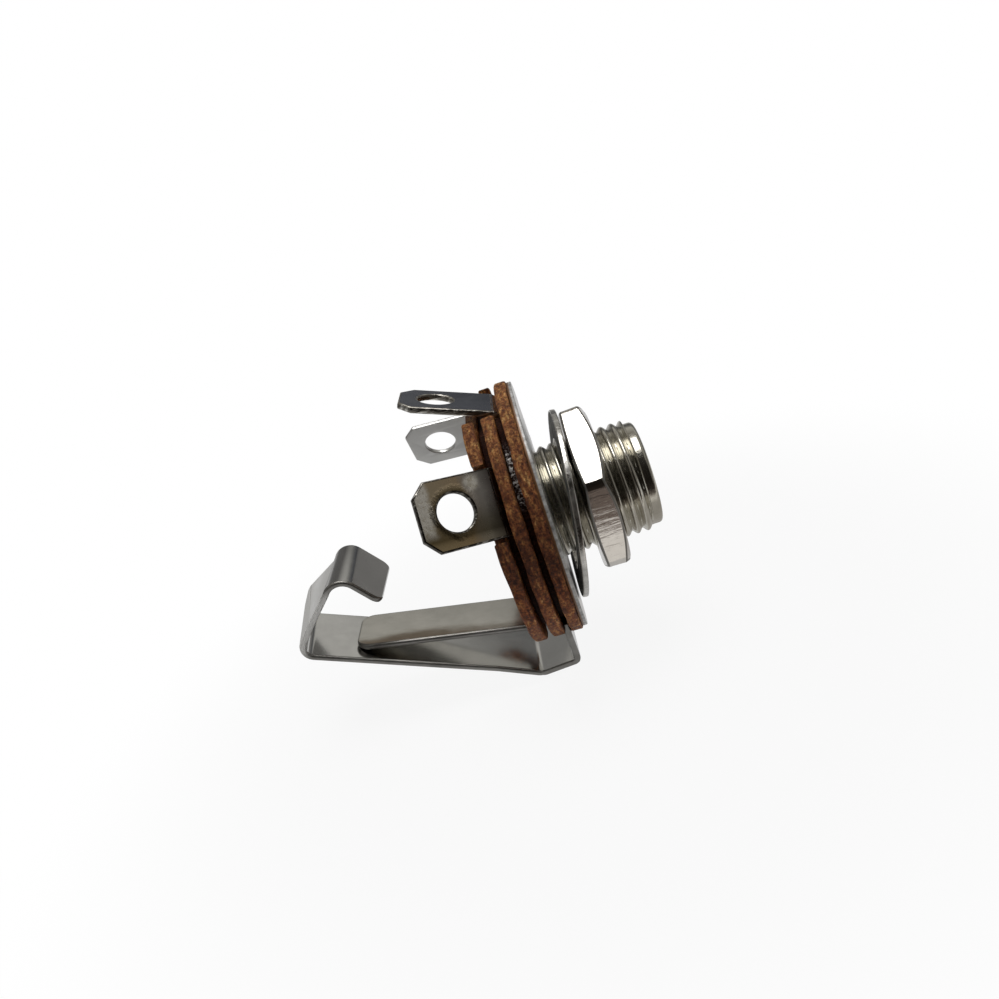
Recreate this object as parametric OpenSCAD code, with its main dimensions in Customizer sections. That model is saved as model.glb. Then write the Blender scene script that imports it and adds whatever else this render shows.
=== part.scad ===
// Switched mono jack socket for a 6.35 mm plug: a threaded bushing whose tail clamps a stack of
// contacts and laminated insulators, with a loose washer and a hex nut on the thread.
// +X points out of the mouth, +Z points away from the tip spring, and x = 0 is the panel seat.

/* [Bushing] */
// Diameter of the bore that takes the plug
bore_d = 6.45; // [6.4:0.05:6.6]
// Outside diameter of the thread
thread_d = 9; // [8.8:0.1:9.4]
// Length of the bushing in front of the panel seat
neck_len = 8.1; // [7.8:0.1:9]
// Length of the plain band at the mouth
band_len = 0.75; // [0.6:0.05:1]
// Depth by which the plain band lies below the thread
band_step = 0.35; // [0.1:0.05:0.4]
// Width of the chamfer round the mouth
mouth_chamfer = 0.3; // [0.2:0.05:0.45]
// Wall of the thin tail that holds the stack
tail_wall = 0.6; // [0.5:0.05:0.65]
// How far the rolled lip reaches past the tail
lip_reach = 1; // [0.8:0.05:1.4]
// Thickness of the rolled lip
lip_t = 0.5; // [0.4:0.05:0.7]

/* [Stack] */
// Thickness of the front plate
plate_t = 0.4; // [0.35:0.05:0.6]
// Diameter of the front plate
plate_d = 20.2; // [20:0.1:20.5]
// Thickness of each insulator
insulator_t = 0.95; // [0.8:0.05:1]
// Diameter of each insulator
insulator_d = 20.6; // [20.5:0.1:21.5]
// Thickness of the tip and switch contacts
contact_t = 0.5; // [0.4:0.05:0.55]
// Diameter of the ring on the tip and switch contacts
ring_d = 18.2; // [17:0.1:18.4]
// Wall of the insulating tube
tube_wall = 0.45; // [0.35:0.05:0.55]

/* [Solder lugs] */
// Angle between neighbouring lugs round the axis
lug_angle = 60; // [50:1:65]
// Width of a lug
lug_w = 5; // [4.4:0.1:5.6]
// Size of the two cut corners of a lug
lug_corner = 1; // [0.6:0.1:1.4]
// Diameter of the wire hole
wire_hole_d = 2.7; // [2:0.1:3]
// Width of the slot that the tip lug passes through
tip_slot_w = 7.8; // [6.2:0.1:8.4]
// Distance from the wire hole to the end of the lug
wire_hole_inset = 2.75; // [2.4:0.05:3.2]
// Distance from the panel seat to the end of the tip and switch lugs
lug_end = 8.4; // [8:0.1:10]
// Distance from the panel seat to the end of the sleeve lug
sleeve_lug_end = 10.4; // [10:0.1:12]
// Outward lean of the tip lug
tip_lug_lean = 22; // [10:1:30]
// Outward lean of the switch lug
switch_lug_lean = 29; // [10:1:30]
// Outward lean of the sleeve lug
sleeve_lug_lean = 5; // [2:1:12]
// Radius at which the sleeve and switch lugs are folded back
lug_fold_r = 9.4; // [9.2:0.1:9.6]
// Radius at which the tip lug is folded back
tip_fold_r = 9; // [8.8:0.1:9.4]

/* [Tip spring] */
// Distance from the axis to the fold under the stack
tab_r = 11.6; // [11.4:0.1:12.2]
// Width of the tab at that fold
tab_w = 10.8; // [9:0.1:11.4]
// Distance from the panel seat to the heel of the arm
heel_x = 4.8; // [4.6:0.1:5.6]
// Distance from the axis to the heel of the arm
heel_r = 13.1; // [12.8:0.1:13.8]
// Width of the arm at its heel
heel_w = 7.2; // [7:0.1:9]
// Width of the arm and its hook
arm_w = 6.7; // [5.6:0.1:6.9]
// Distance from the panel seat at which the arm reaches its own width
arm_x = 8; // [7:0.1:10]
// Distance from the panel seat to the end of the arm
hook_x = 23.8; // [23.1:0.1:24]
// Distance from the axis to the end of the arm
hook_r = 4.6; // [4.6:0.1:5.2]
// Distance from the panel seat to the shoulder above the end of the arm
shoulder_x = 22; // [21.6:0.1:22.4]
// Distance from the axis to that shoulder
shoulder_r = 2.6; // [2:0.1:2.8]
// Distance from the panel seat to the foot of the crest
crest_foot_x = 18.95; // [18.8:0.05:19.3]
// Distance from the axis to the foot of the crest
crest_foot_r = 0.8; // [0.6:0.1:1]
// Distance from the panel seat to the crest of the hook
crest_x = 17.3; // [16.8:0.1:17.4]
// Height of the crest above the axis before it is rounded
crest_z = 0.9; // [0.6:0.1:1]
// Distance from the panel seat to the free end of the hook
nose_x = 15; // [14.4:0.1:15.4]
// Distance from the axis to the free end of the hook
nose_r = 2.6; // [2:0.05:2.8]
// Radius of the two corners at the free end
nose_corner = 0.7; // [0.4:0.1:1.5]
// Middle radius of the folds in the contacts
fold_r = 0.6; // [0.5:0.05:0.75]
// Middle radius of the bends in the arm and hook
bend_r = 0.9; // [0.7:0.05:1]

/* [Switch blade] */
// Distance from the axis to the fold of the blade
blade_fold_r = 9.5; // [9.2:0.1:9.6]
// Width of the blade
blade_w = 5; // [4:0.1:5.2]
// Distance from the panel seat to the end of the blade
blade_end = 18.8; // [17:0.1:19.4]
// Gap left between the blade and the arm
contact_gap = 0.06; // [0.04:0.01:0.12]

/* [Nut and washer] */
// Width of the nut across its flats
nut_af = 12.4; // [12:0.1:13]
// Thickness of the nut
nut_t = 2.15; // [1.8:0.05:2.4]
// Distance from the panel seat to the nut
nut_x = 2.65; // [2.65:0.05:3]
// Angle of the first nut corner round the axis
nut_corner_angle = 4; // [0:0.5:60]
// Angle of the chamfer on the nut's front face
nut_chamfer = 25; // [5:1:35]
// Angle of the chamfer on the nut's back face
nut_back_chamfer = 15; // [5:1:30]
// Outside diameter of the washer
washer_d = 15.2; // [14.6:0.1:15.4]
// Diameter of the hole in the washer
washer_hole_d = 10.4; // [10.4:0.1:10.8]
// Thickness of the washer
washer_t = 0.45; // [0.35:0.05:0.5]
// Distance from the panel seat to the middle of the washer
washer_x = 1.39; // [1.3:0.01:1.4]
// Forward lean of the top of the loose washer
washer_lean = 8; // [3:0.1:8.1]

/* [Fits] */
// Gap all round between pieces that slip over one another
slip = 0.05; // [0.03:0.01:0.08]
// Gap between a folded contact and the slot that it passes through
slot_gap = 0.3; // [0.2:0.05:0.4]

/* [Hidden] */
$fn = 96;
// longer than the whole socket, for shapes that cut right through
through = 60;
// how far a folded strip runs inward over the ring that it grows from
root_len = 1.5;
bore_r = bore_d / 2;
thread_r = thread_d / 2;
tail_r = bore_r + tail_wall;
tube_in_r = tail_r + slip;
tube_out_r = tube_in_r + tube_wall;
ring_r = ring_d / 2;
lip_r = tail_r + lip_reach;
// the stack, as front faces counted back from the panel seat
front_insulator_x = -plate_t;
tip_ring_x = front_insulator_x - insulator_t;
middle_insulator_x = tip_ring_x - contact_t;
switch_ring_x = middle_insulator_x - insulator_t;
rear_insulator_x = switch_ring_x - contact_t;
stack_back_x = rear_insulator_x - insulator_t;
tip_mid_x = tip_ring_x - contact_t / 2;
switch_mid_x = switch_ring_x - contact_t / 2;
plate_mid_x = -plate_t / 2;
// the lean of the arm, and the height of its inner face at the end of the blade
arm_lean = atan((heel_r - hook_r) / (hook_x - heel_x));
arm_face_at_blade = -heel_r + (blade_end - heel_x) * tan(arm_lean) + contact_t / 2 / cos(arm_lean);
// the loose washer hangs on the thread by the top of its hole
washer_drop = (washer_hole_d - washer_t * tan(washer_lean)) / 2 * cos(washer_lean) - thread_r - slip;

// Unit vector from one point to another
function heading(a, b) = (b - a) / norm(b - a);
// A vector turned left by a right angle
function left(v) = [-v[1], v[0]];
// Half of the angle by which a path turns at a corner, with its sign
function half_turn(u, v) = atan2(cross(u, v), u * v) / 2;
// Points of a path's corner, rounded to radius r
function rounded_corner(a, b, c, r, steps = 6) =
    let (u = heading(a, b), h = half_turn(u, heading(b, c)), side = sign(h))
    let (centre = b - u * r * tan(abs(h)) + left(u) * r * side)
    [for (i = [0 : steps])
        let (turn = 2 * h * i / steps)
        centre - side * r * (left(u) * cos(turn) - u * sin(turn))];
// A path with every inner corner rounded to its own radius
function rounded_path(p, radii) = concat(
    [p[0]],
    [for (i = [1 : len(p) - 2]) each rounded_corner(p[i - 1], p[i], p[i + 1], radii[i - 1])],
    [p[len(p) - 1]]);
// The mitred offset of a path to one side
function path_side(p, d) = [for (i = [0 : len(p) - 1])
    let (u = heading(p[max(i - 1, 0)], p[max(i, 1)]))
    let (v = heading(p[min(i, len(p) - 2)], p[min(i + 1, len(p) - 1)]))
    let (h = half_turn(u, v), mid = heading([0, 0], u + v))
    p[i] + left(mid) * d / cos(h)];
function reversed(p) = [for (i = [len(p) - 1 : -1 : 0]) p[i]];

// A sheet folded along a path in the XZ plane, of one thickness and width
module folded_sheet(path, radii, thickness, width) {
    middle = rounded_path(path, radii);
    rotate([90, 0, 0])
        linear_extrude(width, center = true)
            polygon(concat(path_side(middle, thickness / 2), reversed(path_side(middle, -thickness / 2))));
}

// A flat shape in the YZ plane whose front face lies at x
module plate_at(x, thickness) {
    translate([x - thickness, 0, 0])
        rotate([90, 0, 90])
            linear_extrude(thickness)
                children();
}

// A slot from radius floor_r out past the rim, at an angle round the axis
module rim_slot(angle, floor_r, width) {
    rotate(angle)
        translate([-width / 2, floor_r])
            square([width, insulator_d]);
}

// Moves a shape drawn at the end of a lug to its place, with X running back to the fold
module at_lug_end(end, fold_x, fold_radius, lean) {
    translate([-end, 0, fold_radius + (end + fold_x) * tan(lean)])
        rotate([0, lean, 0])
            children();
}

// A solder lug that leaves its ring at fold_x, is folded back and leans outward
module solder_lug(angle, fold_x, fold_radius, end, lean, thickness) {
    end_r = fold_radius + (end + fold_x) * tan(lean);
    rotate([angle, 0, 0])
        difference() {
            intersection() {
                folded_sheet([[fold_x, ring_r - root_len], [fold_x, fold_radius], [-end, end_r]],
                             [fold_r], thickness, lug_w);
                at_lug_end(end, fold_x, fold_radius, lean)
                    linear_extrude(through, center = true)
                        polygon([[0, lug_corner - lug_w / 2], [lug_corner, -lug_w / 2],
                                 [through, -lug_w / 2], [through, lug_w / 2],
                                 [lug_corner, lug_w / 2], [0, lug_w / 2 - lug_corner]]);
            }
            at_lug_end(end, fold_x, fold_radius, lean)
                translate([wire_hole_inset, 0, 0])
                    cylinder(h = lug_w, d = wire_hole_d, center = true);
        }
}

// Slots that let the lugs and the blade of the pieces in front pass through
module lug_slots(gap, tip, switch) {
    width = lug_w + 2 * gap;
    rim_slot(-lug_angle, lug_fold_r - plate_t / 2 - gap, width);
    if (tip)
        rim_slot(0, tip_fold_r - contact_t / 2 - gap, tip_slot_w);
    if (switch) {
        rim_slot(lug_angle, lug_fold_r - contact_t / 2 - gap, width);
        rim_slot(180, blade_fold_r - fold_r - gap, blade_w + 2 * gap);
    }
}

// The turned bushing: bore, mouth, plain band, thread at its outer size, tail and rolled lip
module bushing() {
    band_r = thread_r - band_step;
    lip_back_x = stack_back_x - lip_t;
    color([0.76, 0.75, 0.72])
        rotate([0, 90, 0])
            rotate_extrude()
                polygon([
                    [bore_r, lip_back_x], [bore_r, neck_len - mouth_chamfer],
                    [bore_r + mouth_chamfer, neck_len], [band_r - mouth_chamfer, neck_len],
                    [band_r, neck_len - mouth_chamfer], [band_r, neck_len - band_len],
                    [thread_r, neck_len - band_len - band_step], [thread_r, 0],
                    [tail_r, 0], [tail_r, stack_back_x],
                    [lip_r, stack_back_x], [lip_r, stack_back_x - lip_t / 2],
                    [lip_r - lip_t / 2, lip_back_x]]);
}

// The front plate that seats on the panel, with the sleeve lug folded back from its rim
module sleeve_contact() {
    color([0.72, 0.71, 0.69]) {
        plate_at(0, plate_t)
            difference() {
                circle(d = plate_d);
                circle(r = tail_r + slip);
                rim_slot(-lug_angle, lug_fold_r - fold_r, lug_w);
            }
        solder_lug(-lug_angle, plate_mid_x, lug_fold_r, sleeve_lug_end, sleeve_lug_lean, plate_t);
    }
}

// One laminated insulator, with slots for what passes through it
module insulator(x, hole_r, tip, switch) {
    plate_at(x, insulator_t)
        difference() {
            circle(d = insulator_d);
            circle(r = hole_r);
            lug_slots(slot_gap, tip, switch);
        }
}

module front_insulator() {
    color([0.45, 0.25, 0.13])
        insulator(front_insulator_x, tube_out_r + slip, false, false);
}

module middle_insulator() {
    color([0.45, 0.25, 0.13])
        insulator(middle_insulator_x, tube_out_r + slip, true, false);
}

module rear_insulator() {
    color([0.45, 0.25, 0.13])
        insulator(rear_insulator_x, tail_r + slip, true, true);
}

// The tube between the tail and the two inner contacts
module insulating_tube() {
    color([0.55, 0.33, 0.18])
        plate_at(front_insulator_x, front_insulator_x - rear_insulator_x)
            difference() {
                circle(r = tube_out_r);
                circle(r = tube_in_r);
            }
}

// The ring of the tip contact, with the tapering tab that leads down to the spring
module tip_ring() {
    tab_end = tab_r - fold_r;
    tangent_angle = atan(tab_w / 2 / tab_end) + acos(ring_r / norm([tab_w / 2, tab_end]));
    touch = ring_r * [sin(tangent_angle), -cos(tangent_angle)];
    plate_at(tip_ring_x, contact_t)
        difference() {
            union() {
                circle(r = ring_r);
                polygon([touch, [tab_w / 2, -tab_end], [-tab_w / 2, -tab_end], [-touch[0], touch[1]]]);
            }
            circle(r = tube_out_r + slip);
            lug_slots(2 * slot_gap, false, false);
        }
}

// What is cut off the two corners at the free end of the hook
module nose_corners() {
    nose_slope = atan2(nose_r + crest_z, crest_x - nose_x);
    translate([-nose_x, 0, -nose_r])
        rotate([0, nose_slope, 0])
            linear_extrude(2 * contact_t, center = true)
                for (side = [-1, 1])
                    difference() {
                        translate([-nose_corner, side * arm_w / 2 - nose_corner])
                            square(2 * nose_corner);
                        translate([-nose_corner, side * (arm_w / 2 - nose_corner)])
                            circle(r = nose_corner);
                    }
}

// The arm and hook, folded from the tab and narrowed to the arm's width
module tip_spring() {
    path = [[tip_mid_x, root_len - ring_r], [tip_mid_x, -tab_r], [-heel_x, -heel_r],
            [-hook_x, -hook_r], [-shoulder_x, -shoulder_r], [-crest_foot_x, -crest_foot_r],
            [-crest_x, crest_z], [-nose_x, -nose_r]];
    radii = [fold_r, bend_r, bend_r, bend_r, bend_r, bend_r];
    half_width = [[0, tab_w / 2], [tip_mid_x, tab_w / 2], [-heel_x, heel_w / 2],
                  [-arm_x, arm_w / 2], [-through, arm_w / 2], [-through, 0], [0, 0]];
    difference() {
        intersection() {
            folded_sheet(path, radii, contact_t, tab_w);
            linear_extrude(through, center = true)
                for (side = [0, 1])
                    mirror([0, side])
                        polygon(half_width);
        }
        nose_corners();
    }
}

// The tip contact: ring, lug, arm and hook in one folded sheet
module tip_contact() {
    color([0.70, 0.69, 0.66]) {
        tip_ring();
        tip_spring();
        solder_lug(0, tip_mid_x, tip_fold_r, lug_end, tip_lug_lean, contact_t);
    }
}

// The blade that rests on the arm until a plug pushes the arm away
module switch_blade() {
    end_z = arm_face_at_blade + contact_gap + contact_t / 2;
    corner = blade_w / 4;
    intersection() {
        folded_sheet([[switch_mid_x, root_len - ring_r], [switch_mid_x, -blade_fold_r],
                      [-blade_end, end_z]],
                     [fold_r], contact_t, blade_w);
        linear_extrude(through, center = true)
            union() {
                translate([corner - blade_end, -blade_w / 2])
                    square([blade_end, blade_w]);
                translate([-blade_end, corner - blade_w / 2])
                    square([blade_end, blade_w - 2 * corner]);
                for (side = [-1, 1])
                    translate([corner - blade_end, side * (blade_w / 2 - corner)])
                        circle(r = corner);
            }
    }
}

// The switch contact: ring, lug and blade in one folded sheet
module switch_contact() {
    color([0.70, 0.69, 0.66]) {
        plate_at(switch_ring_x, contact_t)
            difference() {
                circle(r = ring_r);
                circle(r = tube_out_r + slip);
                lug_slots(2 * slot_gap, true, false);
            }
        switch_blade();
        solder_lug(lug_angle, switch_mid_x, lug_fold_r, lug_end, switch_lug_lean, contact_t);
    }
}

// The loose washer, hanging on the thread and leaning against the front plate
module flat_washer() {
    color([0.75, 0.74, 0.71])
        translate([washer_x, 0, -washer_drop])
            rotate([0, washer_lean, 0])
                plate_at(washer_t / 2, washer_t)
                    difference() {
                        circle(d = washer_d);
                        circle(d = washer_hole_d);
                    }
}

// The hex nut, with both faces chamfered down to a circle at the flats
module hex_nut() {
    face_r = nut_af / 2;
    corner_r = face_r / cos(30);
    rim_r = corner_r + slip;
    front_drop = (rim_r - face_r) * tan(nut_chamfer);
    back_drop = (rim_r - face_r) * tan(nut_back_chamfer);
    color([0.78, 0.77, 0.74])
        translate([nut_x, 0, 0])
            rotate([nut_corner_angle, 0, 0])
                difference() {
                    intersection() {
                        rotate([90, 0, 90])
                            linear_extrude(nut_t)
                                polygon([for (i = [0 : 5]) corner_r * [sin(60 * i), cos(60 * i)]]);
                        rotate([0, 90, 0])
                            rotate_extrude()
                                polygon([[0, 0], [face_r, 0], [rim_r, back_drop],
                                         [rim_r, nut_t - front_drop], [face_r, nut_t], [0, nut_t]]);
                    }
                    rotate([0, 90, 0])
                        cylinder(h = through, r = thread_r + slip, center = true);
                }
}

bushing();
sleeve_contact();
front_insulator();
tip_contact();
middle_insulator();
switch_contact();
rear_insulator();
insulating_tube();
flat_washer();
hex_nut();
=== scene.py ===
"""Looks of the switched mono jack socket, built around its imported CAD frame.

Lengths are in millimetres until mesh_piece() turns them into Blender's metres.
The frame is the part's own: +X out of the mouth, +Z away from the tip spring, x = 0 at the panel seat.
"""
import math

import bmesh
import bpy
from mathutils import Matrix, Vector, noise


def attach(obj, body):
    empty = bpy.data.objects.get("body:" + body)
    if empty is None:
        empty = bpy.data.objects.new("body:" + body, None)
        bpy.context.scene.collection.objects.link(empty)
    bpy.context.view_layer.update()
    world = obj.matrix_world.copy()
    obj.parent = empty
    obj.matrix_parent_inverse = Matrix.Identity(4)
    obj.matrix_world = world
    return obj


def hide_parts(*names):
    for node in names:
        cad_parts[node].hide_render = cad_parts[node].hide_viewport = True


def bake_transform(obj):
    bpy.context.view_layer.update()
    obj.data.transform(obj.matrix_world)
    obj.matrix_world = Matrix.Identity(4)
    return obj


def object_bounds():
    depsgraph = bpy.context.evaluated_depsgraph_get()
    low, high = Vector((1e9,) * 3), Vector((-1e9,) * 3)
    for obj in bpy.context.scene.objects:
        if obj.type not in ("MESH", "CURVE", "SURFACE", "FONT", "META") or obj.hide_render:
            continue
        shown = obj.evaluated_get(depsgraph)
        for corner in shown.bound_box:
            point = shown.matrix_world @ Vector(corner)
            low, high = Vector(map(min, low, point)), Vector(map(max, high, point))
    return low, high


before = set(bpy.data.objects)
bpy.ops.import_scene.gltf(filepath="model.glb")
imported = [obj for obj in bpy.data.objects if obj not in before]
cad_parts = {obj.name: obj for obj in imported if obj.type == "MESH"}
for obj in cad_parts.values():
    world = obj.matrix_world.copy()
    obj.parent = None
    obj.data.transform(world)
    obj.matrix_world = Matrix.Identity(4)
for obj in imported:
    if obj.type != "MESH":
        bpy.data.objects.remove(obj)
CAD_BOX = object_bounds()

MM = 0.001

# Bushing
BORE_R = 3.225
THREAD_R = 4.5
THREAD_PITCH = 0.83
THREAD_DEPTH = 0.36
THREAD_PHASE = 0.561
THREAD_FLANK = 0.65
THREAD_RUN_OUT = 0.12
NECK_LEN = 8.1
BAND_LEN = 0.75
BAND_R = 4.15
MOUTH_ROUND = 0.3
TAIL_R = 3.825
LIP_R = 4.825
LIP_T = 0.5
LIP_BREAK = 0.15

# Stack, as front faces along x
PLATE_T = 0.4
PLATE_R = 10.1
INSULATOR_T = 0.95
INSULATOR_R = 10.3
INSULATOR_EDGE = 0.15
CONTACT_T = 0.5
RING_R = 9.1
RING_EDGE = 0.1
TUBE_IN_R = 3.875
TUBE_OUT_R = 4.325
TUBE_EDGE = 0.05
FIT = 0.05
FRONT_INSULATOR_X = -PLATE_T
TIP_RING_X = FRONT_INSULATOR_X - INSULATOR_T
MIDDLE_INSULATOR_X = TIP_RING_X - CONTACT_T
SWITCH_RING_X = MIDDLE_INSULATOR_X - INSULATOR_T
REAR_INSULATOR_X = SWITCH_RING_X - CONTACT_T
STACK_BACK_X = REAR_INSULATOR_X - INSULATOR_T
TIP_MID_X = TIP_RING_X - CONTACT_T / 2
SWITCH_MID_X = SWITCH_RING_X - CONTACT_T / 2

# Sawn rims of the insulators: where the wear starts and how far it reaches, and the size and grain of its
# wander along x and of its chips
WORN_FROM_R = 8.6
WORN_REACH = 1.2
RIM_WANDER = 0.09
WANDER_GRAIN = (0.7, 0.45, 0.45)
RIM_CHIPS = 0.014
CHIP_GRAIN = (1.9, 1.7, 1.7)

# Solder lugs
LUG_ANGLE = 60
LUG_W = 5.0
LUG_CORNER = 1.0
WIRE_HOLE_R = 1.35
WIRE_HOLE_INSET = 2.75
LUG_END = 8.4
SLEEVE_LUG_END = 10.4
TIP_LUG_LEAN = 22
SWITCH_LUG_LEAN = 29
SLEEVE_LUG_LEAN = 5
LUG_FOLD_R = 9.4
TIP_FOLD_R = 9.0
FOLD_R = 0.6
SLOT_GAP = 0.3
TIP_SLOT_W = 7.8
LUG_EDGE = 0.14
PLATE_EDGE = 0.09
LUG_ROOT_R = RING_R - 1.2
SWITCH_LUG = (LUG_ANGLE, SWITCH_MID_X, LUG_FOLD_R, LUG_END, SWITCH_LUG_LEAN)

# Tip spring and switch blade
SPRING_ROOT = [(TIP_MID_X, -7.4), (TIP_MID_X, -11.6), (-4.8, -13.1)]
SPRING_FAR = SPRING_ROOT + [(-23.66, -4.64), (-22.15, -2.4), (-18.9, -0.6), (-18.0, 1.3), (-15.0, -2.75)]
SPRING_FAR_RADII = [0.6, 0.9, 0.92, 1.5, 0.4, 1.15]
SPRING_NEAR = SPRING_ROOT + [(-23.2, -4.88), (-21.0, -2.54), (-18.95, -0.45), (-17.7, 1.05), (-15.05, -2.5)]
SPRING_NEAR_RADII = [0.6, 0.9, 0.92, 1.5, 1.2, 1.4]
ARM_HALF_W = 3.35
SPRING_HALF_WIDTHS = [(0.0, 6.37), (1.2, 6.37), (3.6, 5.4), (4.2, 5.4), (7.7, 3.6), (11.4, ARM_HALF_W),
                      (60.0, ARM_HALF_W)]
SPRING_EDGE = 0.2
NOSE_CORNER = 0.9
BLADE_FOLD_R = 9.5
BLADE_W = 5.0
BLADE_END = (-18.8, -6.27)
BLADE_CORNER = 1.25
BLADE_EDGE = 0.22
STRIP_STEP = 0.12

# Washer and nut
WASHER_R = 7.6
WASHER_HOLE_R = 5.2
WASHER_T = 0.45
WASHER_AT = (1.39, 0.0, -0.568)
WASHER_LEAN = 8
WASHER_EDGE = 0.12
NUT_AF = 12.4
NUT_T = 2.15
NUT_X = 2.65
NUT_CORNER_ANGLE = 4
NUT_CHAMFER = 25
NUT_BACK_CHAMFER = 10
NUT_CORNER_ROUNDS = (0.9, 0.35)
NUT_EDGE = 0.18
NUT_SINK = 0.3

# The photograph's camera, solved from the part's own points
CAMERA_AZIMUTH = 4.863
CAMERA_ELEVATION = 22.255
CAMERA_ROLL = 19.562
CAMERA_DISTANCE = 63.23
CAMERA_TARGET = (-3.711, 0.0, 1.535)
CAMERA_FOCAL_PX = 791.213
IMAGE_PX = 999
SENSOR_MM = 36.0

# Studio. The floor lies low enough for the tip spring's elbow, which a plug pushes below the part
SPRING_SWING = 0.6
SURROUND_DROP = 0.02
FLOOR_REACH = 3000
FLOOR_IN_REFLECTIONS = 0.66
FLOOR_COLOUR = 0.6
# Distances from the part's origin between which the floor turns plain white, and the white share at the first
FLOOR_FADE = (25, 55)
FLOOR_WHITE = 0.9
ROOM_LIGHT = 0.35
OVERHEAD_HEIGHT = 180
OVERHEAD_SIZE = 106
OVERHEAD_POWER = 0.2
ROOM_RADIUS = 200
ROOM_HEIGHT = 260
ROOM_SIDES = 64
ROOM_TONES = [(0.0, (0.6, 0.59, 0.575)), (0.06, (0.38, 0.375, 0.365)), (0.13, (0.2, 0.197, 0.192)),
              (0.19, (0.07, 0.071, 0.075)), (0.27, (0.06, 0.062, 0.068)), (0.31, (0.09, 0.093, 0.102)),
              (0.385, (0.14, 0.139, 0.136)), (0.44, (0.29, 0.286, 0.272)), (0.5, (0.6, 0.592, 0.565)),
              (0.58, (0.52, 0.51, 0.483)), (1.0, (0.3, 0.29, 0.27))]
CEILING_TONE = (0.26, 0.25, 0.225)
# The dark screen on the camera's side, by its upper corners. It stands on the floor
DARK_SCREEN = [(84, -110, 150), (60, -60, 200), (-60, -60, 200), (-90, -110, 150)]
DARK_SCREEN_TONE = (0.012, 0.01, 0.008)
# Cards on the floor, by their outline in (x, y) and their tone, and how far they lie above the room's foot
CARD_LIFT = 0.1
FLOOR_CARDS = {
    "dark_floor": ([(0.5, -16), (3.8, -34), (120, -34), (120, -110), (-40, -110)], (0.018, 0.014, 0.011)),
    "dim_floor": ([(2.2, -24.3), (120, -24.3), (120, -34), (3.8, -34)], (0.17, 0.138, 0.122)),
    "lit_floor": ([(1.4, -17), (60, -17), (60, -24.3), (2.2, -24.3)], (0.92, 0.9, 0.87)),
    # The part's painted shadow on the floor under its neck, as the plating reflects it
    "neck_shadow": ([(5.2, -17), (40, -17), (40, 20), (5.2, 20)], (0.45, 0.435, 0.42)),
    "behind_hook": ([(-27, 4), (-27, 60), (-70, 100), (-70, 4)], (0.46, 0.455, 0.445)),
}
# Standing cards, by their two ends on the floor, their height from it, and their tone
WALL_CARDS = {
    "back_left": ((-62, 180), (-172, 82), (36, 96), (0.22, 0.217, 0.21)),
    "back_right": ((58, 182), (160, 104), (0, 62), (0.19, 0.185, 0.18)),
    "front_right": ((82, -112), (196, 20), (0, 122), (0.2, 0.192, 0.178)),
}


# ---- mesh helpers ----

# How close points are merged, in metres, and how close to a sheet's face a point counts as on it
MERGE = 1e-7
ON_FACE = 1e-4
# An edge is sharp past the first angle and never below the second. Between the two it is sharp where one of
# its faces is this many times larger than the other
SHARP_TURN = math.radians(35)
FLAT_TURN = math.radians(3)
BROAD = 12


def mesh_piece(name, parts, materials):
    """A new piece from (finish, part) pairs in millimetres. Edges stay sharp where they turn far, where the
    finish changes, and where a broad flat face meets a narrow rounded one, so that flats shade as flat."""
    verts, faces = joined(*(part for _, part in parts))
    mesh = bpy.data.meshes.new(name)
    mesh.from_pydata([Vector(v) * MM for v in verts], [], faces)
    used = list(dict.fromkeys(finish for finish, _ in parts))
    for finish in used:
        mesh.materials.append(materials[finish])
    slots = [used.index(finish) for finish, (_, part_faces) in parts for _ in part_faces]
    mesh.polygons.foreach_set("material_index", slots)
    bm = bmesh.new()
    bm.from_mesh(mesh)
    bmesh.ops.remove_doubles(bm, verts=bm.verts, dist=MERGE)
    bmesh.ops.recalc_face_normals(bm, faces=bm.faces)
    for face in bm.faces:
        face.smooth = True
    for edge in bm.edges:
        if len(edge.link_faces) == 2:
            turn = edge.calc_face_angle()
            small, large = sorted(face.calc_area() for face in edge.link_faces)
            one_finish = len({face.material_index for face in edge.link_faces}) == 1
            edge.smooth = one_finish and turn < SHARP_TURN and (turn < FLAT_TURN or large < BROAD * small)
    bm.to_mesh(mesh)
    bm.free()
    piece = bpy.data.objects.new(name, mesh)
    bpy.context.scene.collection.objects.link(piece)
    return piece


def joined(*parts):
    """One list of points and faces from several."""
    verts, faces = [], []
    for part_verts, part_faces in parts:
        base = len(verts)
        verts += [tuple(v) for v in part_verts]
        faces += [[base + i for i in face] for face in part_faces]
    return verts, faces


def moved(part, matrix):
    """A part put elsewhere."""
    verts, faces = part
    return [tuple(matrix @ Vector(v)) for v in verts], faces


def split(part, test):
    """Two parts on the same points: the faces whose points all pass the test, and the rest."""
    verts, faces = part
    passed = [face for face in faces if all(test(verts[i]) for i in face)]
    rest = [face for face in faces if not all(test(verts[i]) for i in face)]
    return (verts, passed), (verts, rest)


def about_axis(degrees):
    """A turn about the socket's axis, as part.scad turns its lugs."""
    return Matrix.Rotation(math.radians(degrees), 4, "X")


def circle_points(radius, count=160, centre=(0.0, 0.0)):
    """A circle's outline."""
    return [(centre[0] + radius * math.cos(2 * math.pi * i / count),
             centre[1] + radius * math.sin(2 * math.pi * i / count)) for i in range(count)]


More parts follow.
